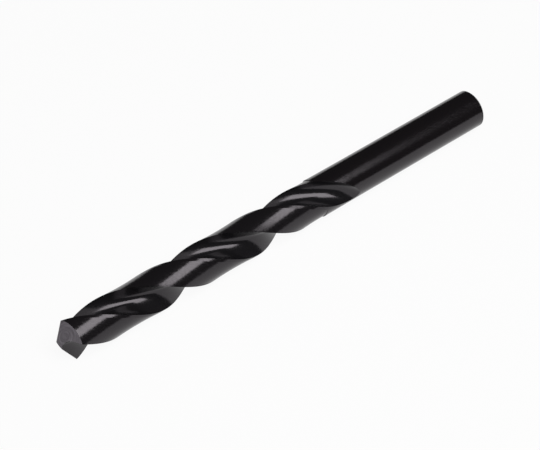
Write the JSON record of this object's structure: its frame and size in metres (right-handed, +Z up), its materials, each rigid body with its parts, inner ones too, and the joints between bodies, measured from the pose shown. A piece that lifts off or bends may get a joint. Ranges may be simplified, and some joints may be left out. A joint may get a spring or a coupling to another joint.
{
  "type": "twist drill bit",
  "caption": "Straight-shank twist drill bit: a helically fluted steel rod with relieved lands and a ground conical point, for boring round holes in metal, wood or plastic.",
  "frame": {"origin": "middle of the drill's length and width, at the lowest line of its barrel, so z = 0 is the surface it lies on", "axes": "+X along the drill axis from the point to the shank end, +Z up, +Y across the drill"},
  "size_m": [0.151, 0.012, 0.012],
  "materials": {
    "black_oxide_steel": "black oxide over ground high-speed steel, satin, with fine grinding lines"
  },
  "bodies": {
    "root": {"drill_bit": "black_oxide_steel"}
  },
  "joints": []
}
